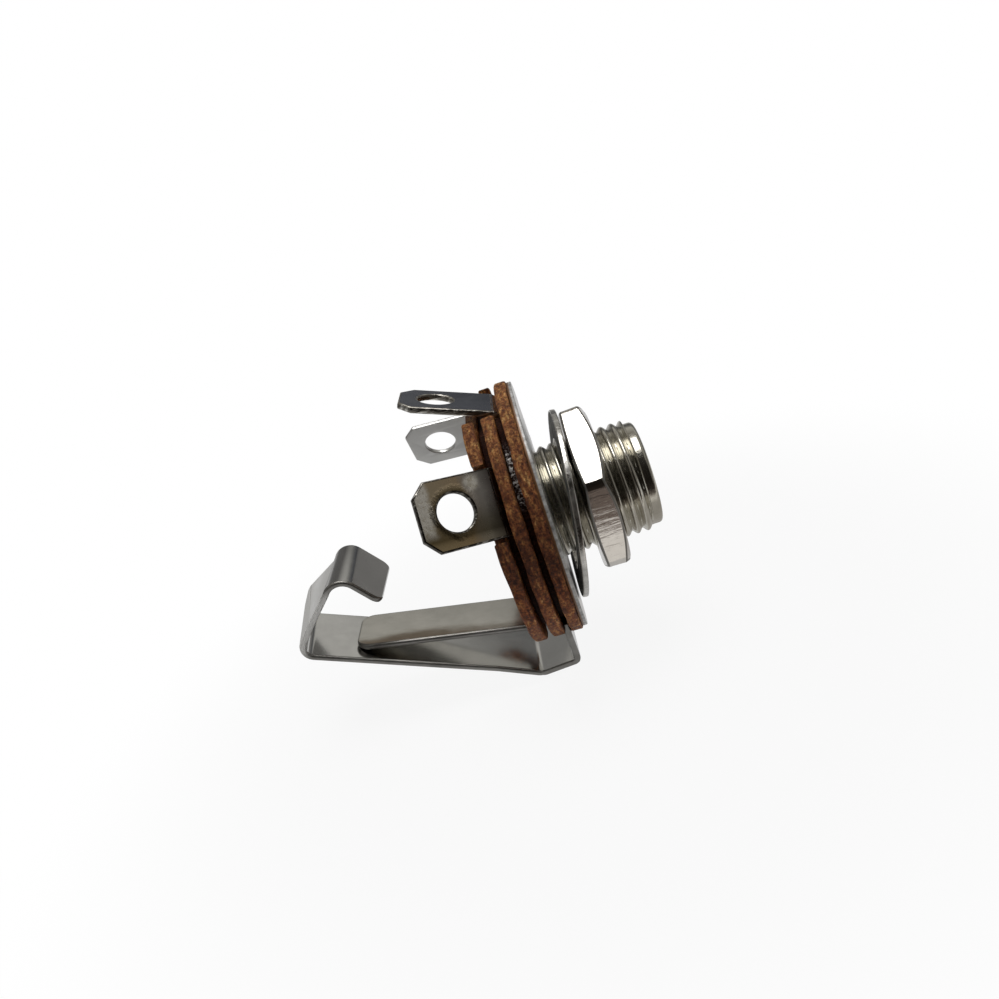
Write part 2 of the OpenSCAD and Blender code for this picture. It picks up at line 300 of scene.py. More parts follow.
def slotted_disc(radius, slots, count=200):
    """Outline of a disc in (y, z) with rim slots, each (angle from +Z towards -Y, floor radius, width)."""
    clear = 0.004
    cuts = []
    for angle, floor_r, width in slots:
        half = math.asin(width / 2 / radius)
        cuts.append((math.radians(angle), half, floor_r, width / 2))
    points = []
    for i in range(count):
        a = 2 * math.pi * i / count - math.pi
        if all(abs((a - c[0] + math.pi) % (2 * math.pi) - math.pi) > c[1] + clear for c in cuts):
            points.append((a, (-radius * math.sin(a), radius * math.cos(a))))
    for centre, half, floor_r, hw in cuts:
        centre = (centre + math.pi) % (2 * math.pi) - math.pi
        out = (-math.sin(centre), math.cos(centre))
        side = (-math.cos(centre), -math.sin(centre))
        rim = radius * math.cos(half)
        for order, (along, across) in enumerate([(rim, -hw), (floor_r, -hw), (floor_r, hw), (rim, hw)]):
            a = centre + half * (across / hw) + 1e-6 * (order - 1.5)
            points.append((a, (out[0] * along + side[0] * across, out[1] * along + side[1] * across)))
    return [p for _, p in sorted(points)]


def sheet(outlines, thickness, edge):
    """A flat sheet about z = 0 from closed 2D outlines, holes included, with its edges rounded off."""
    curve = bpy.data.curves.new("outline", "CURVE")
    curve.dimensions = "2D"
    curve.fill_mode = "BOTH"
    curve.extrude = thickness / 2 - edge
    curve.bevel_depth = edge
    curve.bevel_resolution = 3
    curve.offset = -edge
    for outline in outlines:
        spline = curve.splines.new("POLY")
        spline.points.add(len(outline) - 1)
        for point, (x, y) in zip(spline.points, outline):
            point.co = (x, y, 0.0, 1.0)
        spline.use_cyclic_u = True
    holder = bpy.data.objects.new("outline", curve)
    bpy.context.scene.collection.objects.link(holder)
    depsgraph = bpy.context.evaluated_depsgraph_get()
    mesh = bpy.data.meshes.new_from_object(holder.evaluated_get(depsgraph))
    part = [tuple(v.co) for v in mesh.vertices], [list(p.vertices) for p in mesh.polygons]
    bpy.data.objects.remove(holder)
    bpy.data.curves.remove(curve)
    bpy.data.meshes.remove(mesh)
    return part


# From a sheet's own axes to the (y, z) plane, with its thickness along +X
TO_YZ = Matrix(((0, 0, 1, 0), (1, 0, 0, 0), (0, 1, 0, 0), (0, 0, 0, 1)))


def disc_at(front_x, thickness, outlines, edge):
    """A flat sheet across the socket's axis whose front face lies at front_x."""
    place = Matrix.Translation((front_x - thickness / 2, 0, 0)) @ TO_YZ
    return moved(sheet(outlines, thickness, edge), place)


def rounded_path(points, radii, steps=18):
    """A path with each inner corner rounded to its own radius."""
    path = [Vector(points[0])]
    for a, b, c, r in zip(points, points[1:], points[2:], radii):
        a, b, c = Vector(a), Vector(b), Vector(c)
        u, v = (b - a).normalized(), (c - b).normalized()
        turn = math.atan2(u.x * v.y - u.y * v.x, u.dot(v))
        side = math.copysign(1, turn)
        left = Vector((-u.y, u.x))
        centre = b - u * r * math.tan(abs(turn) / 2) + left * r * side
        for i in range(steps + 1):
            t = turn * i / steps
            path.append(centre - (left * math.cos(t) - u * math.sin(t)) * r * side)
    path.append(Vector(points[-1]))
    return path


def with_rounded_end(path, corner, edge):
    """The path with close steps at its end, where the strip's corners and edges are rounded off."""
    before, last = path[-2], path[-1]
    length = (last - before).length
    steps = [radius * (1 - math.sin(math.pi / 2 * k / count))
             for radius, count in ((corner, 12), (edge, 4)) for k in range(count)]
    close = sorted({round(d, 5) for d in steps if d < length}, reverse=True)
    return path[:-1] + [last.lerp(before, d / length) for d in close] + [last]


def dense(near, far, step):
    """Two matching paths with their long straights cut into short steps."""
    out = [near[0]], [far[0]]
    for a, b, c, d in zip(near, near[1:], far, far[1:]):
        count = max(1, round((b - a).length / step))
        out[0].extend(a.lerp(b, i / count) for i in range(1, count + 1))
        out[1].extend(c.lerp(d, i / count) for i in range(1, count + 1))
    return out


def at_length(table, s):
    """A value read from (length, value) pairs."""
    for (s0, v0), (s1, v1) in zip(table, table[1:]):
        if s <= s1:
            return v0 + (v1 - v0) * max(0.0, s - s0) / (s1 - s0)
    return table[-1][1]


def corner_cut(left, radius):
    """How far a rounded corner of the given radius lies inside the strip, at a length from its end."""
    return radius - math.sqrt(max(0.0, radius ** 2 - max(0.0, radius - left) ** 2))


def strip(near, far, half_width, thickness, edge, corner=0.0):
    """A bent strip with rounded edges and end corners, as its two broad faces and its sheared edges.
    near and far are the paths in (x, z) of its sides, ARM_HALF_W either way from the middle, and half_width
    is a function of length."""
    corner_steps = 4
    middle = [a.lerp(b, 0.5) for a, b in zip(near, far)]
    lengths = [0.0]
    for a, b in zip(middle, middle[1:]):
        lengths.append(lengths[-1] + (b - a).length)
    rings = []
    for i in range(len(middle)):
        along = (middle[min(i + 1, len(middle) - 1)] - middle[max(i - 1, 0)]).normalized()
        normal = Vector((-along.y, along.x))
        left = lengths[-1] - lengths[i]
        wear_and_painted_light = corner_cut(left, edge)
        hw = half_width(lengths[i]) - max(corner_cut(left, corner), wear_and_painted_light)
        ht = thickness / 2 - wear_and_painted_light
        soft = min(edge, ht)
        ring = []
        for turn, (sy, sn) in enumerate([(1, 1), (-1, 1), (-1, -1), (1, -1)]):
            for k in range(corner_steps + 1):
                a = math.radians(90 * turn + 90 * k / corner_steps)
                y = sy * (hw - soft) + soft * math.cos(a)
                p = near[i].lerp(far[i], 0.5 + y / (2 * ARM_HALF_W))
                p += normal * (sn * (ht - soft) + soft * math.sin(a))
                ring.append((p.x, y, p.y))
        rings.append(ring)
    count = len(rings[0])
    verts = [v for ring in rings for v in ring]
    broad, sheared = [], [list(range(count))]
    for j in range(count):
        side = broad if j in (corner_steps, 3 * corner_steps + 2) else sheared
        side += [[i * count + j, i * count + (j + 1) % count,
                  (i + 1) * count + (j + 1) % count, (i + 1) * count + j] for i in range(len(rings) - 1)]
    sheared.append([(len(rings) - 1) * count + j for j in range(count)])
    return (verts, broad), (verts, sheared)


def ring_faces(rings, count, places=None):
    """Faces from each closed ring of points to the next, all the way round, at the given places or at all."""
    return [[j * count + i, j * count + (i + 1) % count,
             (j + 1) % rings * count + (i + 1) % count, (j + 1) % rings * count + i]
            for j in range(rings) for i in places or range(count)]


def lathe(profile_at, count):
    """Closed profiles of (x, radius) points about the socket's axis, given as a function of the angle."""
    verts = []
    for j in range(count):
        a = 2 * math.pi * j / count
        profile = profile_at(a)
        verts += [(x, r * math.cos(a), r * math.sin(a)) for x, r in profile]
    return verts, ring_faces(count, len(profile))


def rounded_profile(points, radius, steps=5):
    """A closed (x, r) profile with every corner rounded."""
    out = []
    n = len(points)
    for i in range(n):
        a, b, c = (Vector(points[(i + k - 1) % n]) for k in range(3))
        cut = min(radius, (b - a).length / 2.01, (c - b).length / 2.01)
        start, end = b + (a - b).normalized() * cut, b + (c - b).normalized() * cut
        for k in range(steps + 1):
            t = k / steps
            out.append(tuple(start.lerp(b, t).lerp(b.lerp(end, t), t)))
    return out


# ---- the pieces ----

def bushing():
    """The turned bushing with its helical thread, plain band, rounded mouth, tail and rolled lip."""
    thread_end = NECK_LEN - BAND_LEN
    thread_steps = 130
    xs = [thread_end * i / thread_steps for i in range(thread_steps + 1)]

    def thread_radius(x, a):
        """The helical thread, which runs out into the plain band."""
        phase = x / THREAD_PITCH - a / (2 * math.pi) - THREAD_PHASE
        wave = 0.5 + 0.5 * math.cos(2 * math.pi * phase)
        crest = THREAD_R - THREAD_DEPTH * (1 - wave ** THREAD_FLANK)
        fade = min(1.0, max(0.0, (thread_end - x) / THREAD_RUN_OUT))
        return crest * fade + BAND_R * (1 - fade)

    round_steps, lip_steps = 6, 12
    quarter = [math.pi / 2 * k / round_steps for k in range(round_steps + 1)]
    round_x = NECK_LEN - MOUTH_ROUND
    mouth = [(round_x + MOUTH_ROUND * math.sin(t), BAND_R - MOUTH_ROUND + MOUTH_ROUND * math.cos(t))
             for t in quarter]
    bore_mouth = [(round_x + MOUTH_ROUND * math.cos(t), BORE_R + MOUTH_ROUND - MOUTH_ROUND * math.sin(t))
                  for t in quarter]
    lip_back = STACK_BACK_X - LIP_T
    lip = [(lip_back + LIP_T / 2 - LIP_T / 2 * math.sin(t), LIP_R - LIP_T / 2 + LIP_T / 2 * math.cos(t))
           for t in (math.pi * k / lip_steps for k in range(lip_steps + 1))]
    fixed = mouth + bore_mouth + [(lip_back + LIP_BREAK, BORE_R), (lip_back, BORE_R + LIP_BREAK)]
    fixed += lip[::-1] + [(STACK_BACK_X, TAIL_R), (0.0, TAIL_R)]
    return [("turned", lathe(lambda a: [(x, thread_radius(x, a)) for x in xs] + fixed, 240))]


def lug_frame(angle, fold_x, fold_radius, end, lean):
    """Place of a lug's flat end: its free edge at the origin, its length along +X, its face towards +Z."""
    slope = math.radians(lean)
    end_r = fold_radius + (end + fold_x) * math.tan(slope)
    return about_axis(angle) @ Matrix.Translation((-end, 0, end_r)) @ Matrix.Rotation(slope, 4, "Y")


def lug(angle, fold_x, fold_radius, end, lean, thickness, edge):
    """A solder lug folded back from its ring: a bent root and a flat end with cut corners and a wire hole.
    It comes as its broad faces and its sheared edges."""
    slope = math.radians(lean)
    end_r = fold_radius + (end + fold_x) * math.tan(slope)
    tangent = FOLD_R * math.tan((math.pi / 2 - slope) / 2)
    path = rounded_path([(fold_x, LUG_ROOT_R), (fold_x, fold_radius), (-end, end_r)], [FOLD_R])[:-1]
    root = strip(path, path, lambda s: LUG_W / 2, thickness, edge)
    length = (end + fold_x) / math.cos(slope) - tangent
    hw = LUG_W / 2
    outline = [(0, LUG_CORNER - hw), (LUG_CORNER, -hw), (length + edge, -hw),
               (length + edge, hw), (LUG_CORNER, hw), (0, hw - LUG_CORNER)]
    hole = circle_points(WIRE_HOLE_R, 72, (WIRE_HOLE_INSET, 0.0))
    flat = split(sheet([outline, hole], thickness, edge), lambda v: abs(v[2]) > thickness / 2 - ON_FACE)
    place = lug_frame(angle, fold_x, fold_radius, end, lean)
    return [joined(moved(a, about_axis(angle)), moved(b, place)) for a, b in zip(root, flat)]


def lug_slots(gap, tip, switch):
    """Rim slots that the lugs and the blade pass through, as in part.scad."""
    width = LUG_W + 2 * gap
    slots = [(-LUG_ANGLE, LUG_FOLD_R - PLATE_T / 2 - gap, width)]
    if tip:
        slots.append((0, TIP_FOLD_R - CONTACT_T / 2 - gap, TIP_SLOT_W))
    if switch:
        slots.append((LUG_ANGLE, LUG_FOLD_R - CONTACT_T / 2 - gap, width))
        slots.append((180, BLADE_FOLD_R - FOLD_R - gap, BLADE_W + 2 * gap))
    return slots


def sleeve_contact():
    """The front plate with its solder lug."""
    notch = [(-LUG_ANGLE, LUG_FOLD_R - FOLD_R, LUG_W)]
    plate = disc_at(0, PLATE_T, [slotted_disc(PLATE_R, notch), circle_points(TAIL_R + FIT)], PLATE_EDGE)
    tail = lug(-LUG_ANGLE, -PLATE_T / 2, LUG_FOLD_R, SLEEVE_LUG_END, SLEEVE_LUG_LEAN, PLATE_T, PLATE_EDGE)
    faces, rim = split(plate, lambda v: abs(v[0] + PLATE_T / 2) > PLATE_T / 2 - ON_FACE)
    return [("plate", faces), ("burnished", rim)] + [("dull", part) for part in tail]


def insulator(front_x, hole_r, tip, switch):
    """A paper disc whose sawn rim wanders a little, never past its stated radius."""
    outlines = [slotted_disc(INSULATOR_R, lug_slots(SLOT_GAP, tip, switch)), circle_points(hole_r)]
    verts, faces = disc_at(front_x, INSULATOR_T, outlines, INSULATOR_EDGE)

    def wear(point, grain):
        return noise.noise(Vector([a * b for a, b in zip(point, grain)]))

    wear_and_painted_light = []
    for x, y, z in verts:
        rim = min(1.0, max(0.0, (math.hypot(y, z) - WORN_FROM_R) / WORN_REACH))
        wander = wear((x, y, z), WANDER_GRAIN) * RIM_WANDER
        chips = abs(wear((x, y, z), CHIP_GRAIN)) * RIM_CHIPS
        wear_and_painted_light.append((x + rim * wander, y * (1 - rim * chips), z * (1 - rim * chips)))
    return [("paper", (wear_and_painted_light, faces))]


def contact_ring(front_x, tip):
    """The clamped ring of the tip or switch contact, slotted clear of the other contacts' lugs."""
    outlines = [slotted_disc(RING_R, lug_slots(2 * SLOT_GAP, tip, False)), circle_points(TUBE_OUT_R + FIT)]
    return disc_at(front_x, CONTACT_T, outlines, RING_EDGE)


def tip_contact():
    """The tip spring with its hook, its solder lug and its ring. The hook is a little twisted, so that its
    near and far sides follow paths of their own."""
    sides = ((SPRING_NEAR, SPRING_NEAR_RADII), (SPRING_FAR, SPRING_FAR_RADII))
    near, far = (with_rounded_end(rounded_path(*side), NOSE_CORNER, SPRING_EDGE) for side in sides)
    broad, sheared = strip(*dense(near, far, STRIP_STEP), lambda s: at_length(SPRING_HALF_WIDTHS, s),
                           CONTACT_T, SPRING_EDGE, NOSE_CORNER)
    tail = lug(0, TIP_MID_X, TIP_FOLD_R, LUG_END, TIP_LUG_LEAN, CONTACT_T, LUG_EDGE)
    # The spring's edge has painted light on the flank and painted shade elsewhere; the lug's edges are the
    # lit copy
    return [("satin", broad), ("spring_edge", sheared), ("slate", tail[0]), ("lit_edge", tail[1]),
            ("glinting", contact_ring(TIP_RING_X, False))]


def switch_contact():
    """The switch blade over the spring's arm, its solder lug and its ring."""
    path = rounded_path([(SWITCH_MID_X, -LUG_ROOT_R), (SWITCH_MID_X, -BLADE_FOLD_R), BLADE_END], [FOLD_R])
    path = with_rounded_end(path, BLADE_CORNER, BLADE_EDGE)
    broad, sheared = strip(*dense(path, path, STRIP_STEP), lambda s: BLADE_W / 2,
                           CONTACT_T, BLADE_EDGE, BLADE_CORNER)
    tail = lug(*SWITCH_LUG, CONTACT_T, LUG_EDGE)
    # Painted shade on the blade's face and edges, painted light and shade on the lug, painted shade on the
    # lug's edges
    return [("blade", broad), ("shade_painted_edge", sheared), ("punched", tail[0]), ("shaded_edge", tail[1]),
            ("shaded", contact_ring(SWITCH_RING_X, True))]


def insulating_tube():
    """The hidden tube that keeps the inner contacts off the bushing's tail."""
    back = REAR_INSULATOR_X
    profile = rounded_profile([(back, TUBE_IN_R), (FRONT_INSULATOR_X, TUBE_IN_R),
                               (FRONT_INSULATOR_X, TUBE_OUT_R), (back, TUBE_OUT_R)], TUBE_EDGE, 2)
    return [("paper", lathe(lambda a: profile, 96))]


def flat_washer():
    """The washer that hangs askew on the thread: a dark back whose colour is painted shade, a bright front
    and a rolled rim.
    """
    half = WASHER_T / 2
    corners = [(-half, WASHER_HOLE_R), (half, WASHER_HOLE_R), (half, WASHER_R), (-half, WASHER_R)]
    profile = rounded_profile(corners, WASHER_EDGE)
    place = Matrix.Translation(WASHER_AT) @ Matrix.Rotation(math.radians(WASHER_LEAN), 4, "Y")
    back, rest = split(lathe(lambda a: profile, 192), lambda v: v[0] < ON_FACE - half)
    front, rim = split(rest, lambda v: v[0] > half - ON_FACE)
    # The back's dull, dark colour is painted shade
    finishes = (("shaded_back", back), ("polished", front), ("rolled_rim", rim))
    return [(finish, moved(part, place)) for finish, part in finishes]


def hex_nut():
    """The nut as rings of points: chamfered faces, a countersunk hole, and corners more rounded at the back.
    """
    face_r = NUT_AF / 2
    hole_r = THREAD_R + FIT

    def fillet_start(rounding):
        """The angle from the middle of a flat at which its rounded corner starts."""
        return math.degrees(math.atan((face_r - rounding) * math.tan(math.radians(30)) / face_r))

    def outer_radius(turn, rounding):
        """The hexagon's radius at an angle from the middle of a flat."""
        if abs(turn) <= fillet_start(rounding):
            return face_r / math.cos(math.radians(turn))
        off = math.radians(30 - abs(turn))
        away = (face_r - rounding) / math.cos(math.radians(30))
        return away * math.cos(off) + math.sqrt(rounding ** 2 - (away * math.sin(off)) ** 2)

    first = fillet_start(max(NUT_CORNER_ROUNDS))
    corner_steps = 14
    corner_turns = [first + (30 - first) * k / corner_steps for k in range(corner_steps)]
    turns = [-30] + [-t for t in reversed(corner_turns)] + list(range(-22, 23, 2)) + corner_turns

    def side(r, angle):
        """One face's half of the profile, from the hole to the flat, as (depth below the face, radius)."""
        cut = (r - face_r) * math.tan(math.radians(angle))
        return [(NUT_SINK, hole_r), (0.0, hole_r + NUT_SINK), (0.0, face_r - NUT_EDGE), (cut, r - NUT_EDGE),
                (cut + NUT_EDGE * 0.3, r - NUT_EDGE * 0.3), (cut + NUT_EDGE, r)]

    verts = []
    for flat in range(6):
        for turn in turns:
            a = math.radians(NUT_CORNER_ANGLE + 30 + 60 * flat + turn)
            back = side(outer_radius(turn, NUT_CORNER_ROUNDS[0]), NUT_BACK_CHAMFER)
            front = side(outer_radius(turn, NUT_CORNER_ROUNDS[1]), NUT_CHAMFER)
            ring = back + [(NUT_T - x, q) for x, q in reversed(front)]
            verts += [(NUT_X + x, -q * math.sin(a), q * math.cos(a)) for x, q in ring]
    rings = 6 * len(turns)
    count = len(verts) // rings
    # The rounded bands at the two ends of each flat, in dark plating that is painted shade
    wear_and_painted_light = (3, 4, 6, 7)
    clean = [i for i in range(count) if i not in wear_and_painted_light]
    return [("milled", (verts, ring_faces(rings, count, clean))),
            ("shade_painted_edge", (verts, ring_faces(rings, count, wear_and_painted_light)))]


# ---- materials ----

EVEN = (1, 1, 1)


class Nodes:
    """A material's node tree, with short calls to add and link nodes."""

    def __init__(self, name):
        self.material = bpy.data.materials.new(name)
        self.material.use_nodes = True
        self.tree = self.material.node_tree
        self.shader = self.tree.nodes["Principled BSDF"]
        self.coordinates = self.add("ShaderNodeTexCoord").outputs
        self.place = self.coordinates["Object"]

    def add(self, kind, **inputs):
        node = self.tree.nodes.new(kind)
        for key, value in inputs.items():
            node.inputs[key.replace("_", " ")].default_value = value
        return node

    def link(self, source, target):
        self.tree.links.new(source, target)

    def put(self, value, socket):
        """Sets a socket to a plain value, or links it."""
        if isinstance(value, bpy.types.NodeSocket):
            self.link(value, socket)
        else:
            socket.default_value = value

    def shade(self, **inputs):
        """Sets or links the Principled shader's inputs by their names."""
        for key, value in inputs.items():
            self.put(value, self.shader.inputs[key.replace("_", " ")])

    def show(self, surface):
        """Takes another shader in place of the Principled one."""
        self.tree.nodes.remove(self.shader)
        self.link(surface, self.tree.nodes["Material Output"].inputs["Surface"])

    def noise(self, scale, detail, roughness, stretch=EVEN):
        """Noise fixed to the piece, drawn out along the axes that stretch makes small."""
        mapping = self.add("ShaderNodeMapping", Scale=stretch)
        self.link(self.place, mapping.inputs["Vector"])
        node = self.add("ShaderNodeTexNoise", Scale=scale, Detail=detail, Roughness=roughness)
        self.link(mapping.outputs["Vector"], node.inputs["Vector"])
        return node.outputs["Fac"]

    def ramp(self, factor, stops):
        """A colour between (place, colour) stops."""
        node = self.add("ShaderNodeValToRGB")
        elements = node.color_ramp.elements
        while len(elements) < len(stops):
            elements.new(0.5)
        for element, (at, colour) in zip(elements, stops):
            element.position = at
            element.color = (*colour, 1.0)
        self.link(factor, node.inputs["Fac"])
        return node.outputs["Color"]

    def reach(self, value, start, end, low=0.0):
        """A soft step from low at one value, in millimetres, to 1 at another."""
        node = self.add("ShaderNodeMapRange", From_Min=start * MM, From_Max=end * MM, To_Min=low)
        node.interpolation_type = "SMOOTHSTEP"
        self.link(value, node.inputs["Value"])
        return node.outputs["Result"]

    def axes(self, vector):
        """The X, Y and Z of a vector."""
        node = self.add("ShaderNodeSeparateXYZ")
        self.link(vector, node.inputs[0])
        return node.outputs

    def inside(self, matrix):
        """The surface point in the axes of a place given in millimetres."""
        node = self.add("ShaderNodeMapping", Location=matrix.translation * MM, Rotation=matrix.to_euler())
        node.vector_type = "TEXTURE"
        self.link(self.place, node.inputs["Vector"])
        return node.outputs["Vector"]

    def distance(self, vector, point):
        node = self.add("ShaderNodeVectorMath")
        node.operation = "DISTANCE"
        self.link(vector, node.inputs[0])
        node.inputs[1].default_value = Vector(point) * MM
        return node.outputs["Value"]

    def math(self, operation, *values):
        node = self.add("ShaderNodeMath")
        node.operation = operation
        for value, socket in zip(values, node.inputs):
            self.put(value, socket)
        return node.outputs[0]

    def shift(self, factor, reach):
        """Up to so many millimetres either way, as a noise says."""
        return self.math("MULTIPLY_ADD", factor, 2 * reach * MM, -reach * MM)

    def mix(self, factor, first, second, blend="MIX"):
        node = self.add("ShaderNodeMix")
        node.data_type = "RGBA"
        node.blend_type = blend
        self.put(factor, node.inputs[0])
        self.put(first, node.inputs[6])
        self.put(second, node.inputs[7])
        return node.outputs[2]

    def bump(self, height, strength, depth):
        """Relief of the given depth in millimetres."""
        node = self.add("ShaderNodeBump", Strength=strength, Distance=depth * MM)
        self.link(height, node.inputs["Height"])
        self.link(node.outputs["Normal"], self.shader.inputs["Normal"])

    def mottle(self, dark, light):
        """The uneven tone of plating."""
        return self.ramp(self.noise(420, 5.0, 0.62), [(0.32, dark), (0.64, light)])

    def gloss(self, scale, between, stretch=EVEN):
        """A roughness that wanders between two values."""
        low, high = between
        return self.ramp(self.noise(scale, 6.0, 0.65, stretch), [(0.3, grey(low)), (0.7, grey(high))])

    def scratches(self, relief, stretch=EVEN):
        """Fine relief."""
        self.bump(self.noise(2600, 4.0, 0.6, stretch), relief, 0.04)


def grey(value):
    return (value, value, value)


def plated_metal(name, dark, light, gloss, scratch, relief, painted_shading=None):
    """Nickel plating: mottled tone, uneven gloss between two roughness values, and fine scratches.
    The last argument, if given, is a function of the nodes that gives where shade is painted on the plating,
    and the painted shade's colour."""
    nodes = Nodes(name)
    tone = nodes.mottle(dark, light)
    # Painted shade, where the finish has one
    if painted_shading:
        where, colour = painted_shading(nodes)
        tone = nodes.mix(where, tone, colour)
    nodes.shade(Base_Color=tone, Metallic=1.0, Roughness=nodes.gloss(800, gloss, scratch))
    nodes.scratches(relief, scratch)
    return nodes.material


def crest_painted_shade(nodes):
    """Painted shade: a dark band across the tip spring's crest, the part that a plug's tip rides over."""
    x, _, z = nodes.axes(nodes.place)
    crest = nodes.math("MULTIPLY", nodes.reach(x, -19.4, -18.7), nodes.reach(x, -16.9, -17.7))
    return nodes.math("MULTIPLY", crest, nodes.reach(z, -1.8, -0.6)), (0.27, 0.265, 0.26, 1)


def blade_painted_shade(nodes):
    """Painted shade: dark brown streaks along the switch blade's near edge."""
    streaks = nodes.shift(nodes.noise(300, 5.0, 0.65, (0.3, 1, 1)), 1.7)
    near = nodes.math("ADD", nodes.axes(nodes.place)["Y"], streaks)
    return nodes.reach(near, -0.9, -2.5), (0.2, 0.16, 0.12, 1)


def stamped_lug_metal(name):
    """Plating on the near lug, with its light and shade painted into the colour: a painted highlight on its
    scuffed free edge and on one corner, painted shade round the punched hole and along its lower side, and
    painted shade that turns it grey, then dark, towards the fold."""
    nodes = Nodes(name)
    spot = nodes.inside(lug_frame(*SWITCH_LUG))
    along, across, _ = nodes.axes(spot)
    shift = nodes.shift(nodes.noise(900, 6.0, 0.66), 0.4)
    wander = nodes.math("ADD", along, shift)
    # Painted light and shade along the lug: warm and light at the free edge, grey further in, dark at the
    # fold
    tone = nodes.ramp(nodes.reach(wander, 0.8, 6.2),
                      [(0.0, (0.52, 0.43, 0.3)), (0.45, (0.5, 0.385, 0.255)), (0.62, (0.42, 0.375, 0.33)),
                       (0.85, (0.36, 0.34, 0.32)), (1.0, (0.1, 0.085, 0.08))])
    # A painted highlight in a thin line along the lower edge, with painted shade just inside it
    low = nodes.ramp(nodes.reach(across, -2.3, 1.0),
                     [(0.0, (0.95, 0.9, 0.76)), (0.09, (0.4, 0.37, 0.28)), (0.4, (0.52, 0.5, 0.43)),
                      (1.0, grey(1.0))])
    tone = nodes.mix(1.0, tone, low, "MULTIPLY")
    from_hole = nodes.math("ADD", nodes.distance(spot, (WIRE_HOLE_INSET, 0, 0)), shift)
    ring = nodes.reach(from_hole, 2.0, 1.5)
    # Painted shade round the hole, on the free edge's side
    painted_hole_shade = nodes.math("MULTIPLY", ring, nodes.reach(along, 4.4, 3.4))
    tone = nodes.mix(painted_hole_shade, tone, (0.16, 0.125, 0.07, 1))
    # Painted highlights on the free edge and on one corner, where the grain is also scuffed
    scuff_and_highlight = nodes.math("MULTIPLY", nodes.reach(wander, 1.35, 0.75), nodes.reach(across, -1.7, -0.8))
    bright = nodes.ramp(nodes.noise(2600, 5.0, 0.7), [(0.32, (0.62, 0.56, 0.44)), (0.52, (1.0, 0.97, 0.9))])
    from_corner = nodes.math("ADD", nodes.distance(spot, (4.35, 1.75, 0)), shift)
    wear_and_painted_light = nodes.math("MAXIMUM", scuff_and_highlight, nodes.reach(from_corner, 0.8, 0.35))
    tone = nodes.mix(wear_and_painted_light, tone, bright)
    nodes.shade(Base_Color=tone, Metallic=1.0, Roughness=nodes.gloss(1100, (0.16, 0.32)))
    grain = nodes.math("MULTIPLY_ADD", scuff_and_highlight, 0.3, 0.1)
    nodes.bump(nodes.math("MULTIPLY_ADD", nodes.noise(2300, 5.0, 0.65), grain, ring), 0.6, 0.1)
    return nodes.material


def spring_edge(name):
    """The tip spring's rounded edge: painted light along the hook's flank, and dark plating elsewhere, which
    is painted shade.
    """
    nodes = Nodes(name)
    x, _, z = nodes.axes(nodes.place)
    flank = nodes.math("MULTIPLY", nodes.reach(z, -5.4, -4.2), nodes.reach(z, 0.2, -1.0))
    flank_light = nodes.math("MULTIPLY", flank, nodes.reach(x, -18.0, -18.9))
    tone = nodes.mix(flank_light, nodes.mottle(*EDGE_SHADE_TONES), (0.6, 0.59, 0.565, 1))
    nodes.shade(Base_Color=tone, Metallic=nodes.math("MULTIPLY_ADD", flank_light, -0.75, 1.0), Roughness=0.41)
    nodes.scratches(0.1)
    return nodes.material


def laminate(name):
    """Brown paper laminate: pitted dark resin with tan specks, with painted shade that is darkest at mid
    height and lifts towards its top and its foot.
    """
    nodes = Nodes(name)
    layers = nodes.noise(1250, 6.0, 0.72, (2.6, 1, 1))
    colour = nodes.ramp(layers, [(0.36, (0.13, 0.036, 0.011)), (0.5, (0.33, 0.118, 0.036)),
                                 (0.6, (0.55, 0.27, 0.085)), (0.7, (0.95, 0.6, 0.25))])
    specks = nodes.ramp(nodes.noise(5200, 4.0, 0.7),
                        [(0.4, (0.29, 0.265, 0.25)), (0.5, grey(0.63)), (0.6, grey(1.0))])
    # Painted shade by height
    height = nodes.math("MULTIPLY_ADD", nodes.axes(nodes.place)["Z"], 45.0, 0.5)
    height_shade = nodes.ramp(height, [(0.04, (1.0, 0.94, 0.9)), (0.24, (1.0, 0.84, 0.78)),
                                  (0.38, (0.78, 0.6, 0.53)), (0.5, (0.42, 0.31, 0.265)),
                                  (0.72, (0.66, 0.58, 0.52)), (0.9, (0.95, 0.95, 0.9))])
    tone = nodes.mix(1.0, nodes.mix(1.0, colour, specks, "MULTIPLY"), height_shade, "MULTIPLY")
    nodes.shade(Base_Color=tone, Roughness=0.55, Specular_IOR_Level=0.2)
    nodes.bump(nodes.noise(3000, 7.0, 0.75, (1.8, 1, 1)), 0.8, 0.16)
    return nodes.material


def ring_edge(name, glints):
    """A contact ring's edge, deep between the insulators, in a dark red-brown that is painted shade and a
    painted reflection of the insulators' brown. Its burrs are painted glints, bright between two heights,
    each given as a soft step."""
    nodes = Nodes(name)
    burrs = nodes.noise(6800, 4.0, 0.7, (0.5, 1, 1))
    # Painted shade in the insulators' dark brown
    painted_shading = nodes.ramp(burrs, [(0.4, (0.008, 0.002, 0.001)), (0.62, (0.04, 0.012, 0.006))])
    z = nodes.axes(nodes.place)["Z"]
    # Painted glints: the burrs turn to bright metal only between the two heights
    shown = nodes.math("MULTIPLY", nodes.reach(z, *glints[:2]), nodes.reach(z, *glints[2:]))
    shine = nodes.math("MULTIPLY", shown, nodes.ramp(burrs, [(0.5, grey(0.0)), (0.62, grey(0.9))]))
    tone = nodes.mix(shine, painted_shading, (0.85, 0.83, 0.79, 1))
    nodes.shade(Base_Color=tone, Metallic=shine, Roughness=0.5, Specular_IOR_Level=0.05)
    nodes.bump(burrs, 0.8, 0.1)
    return nodes.material


